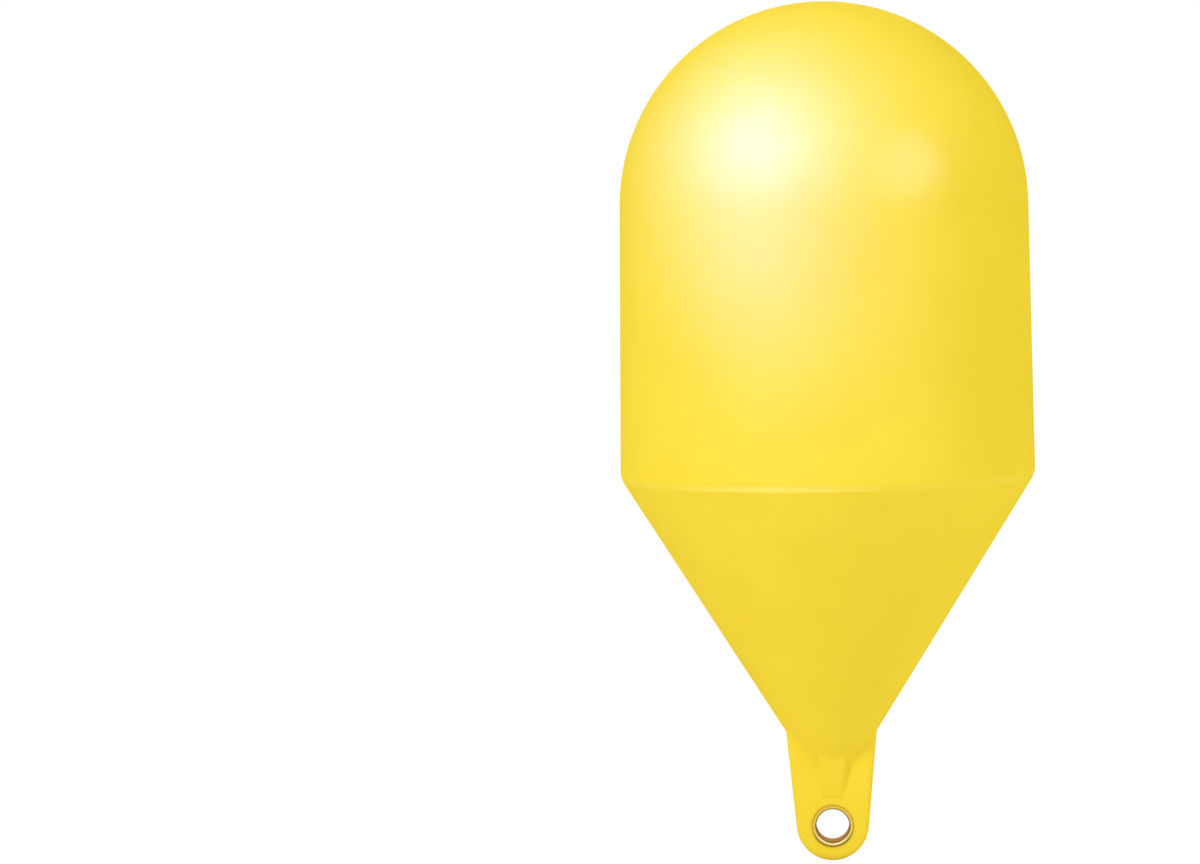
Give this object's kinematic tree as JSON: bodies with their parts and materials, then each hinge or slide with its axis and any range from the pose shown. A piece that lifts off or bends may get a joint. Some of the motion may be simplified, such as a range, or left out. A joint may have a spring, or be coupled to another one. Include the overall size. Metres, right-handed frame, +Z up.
{
  "type": "navigation marker buoy",
  "caption": "Moulded marker buoy with a domed barrel, a rounded shoulder, a long cone and a flat mooring lug with a brass-bushed eye.",
  "frame": {"origin": "on the buoy's axis at its working waterline", "axes": "+Z up the buoy's axis towards the dome, +Y along the mooring eye towards the back, +X to the right seen from the front"},
  "size_m": [0.4, 0.3998, 0.8292],
  "materials": {
    "float_plastic": "satin moulded polyethylene",
    "bush_brass": "dull, slightly browned",
    "plug_plastic": "satin"
  },
  "bodies": {
    "root": {"float_body": "float_plastic", "mooring_lug": "float_plastic", "eye_bush": "bush_brass", "vent_plug": "plug_plastic"}
  },
  "joints": []
}
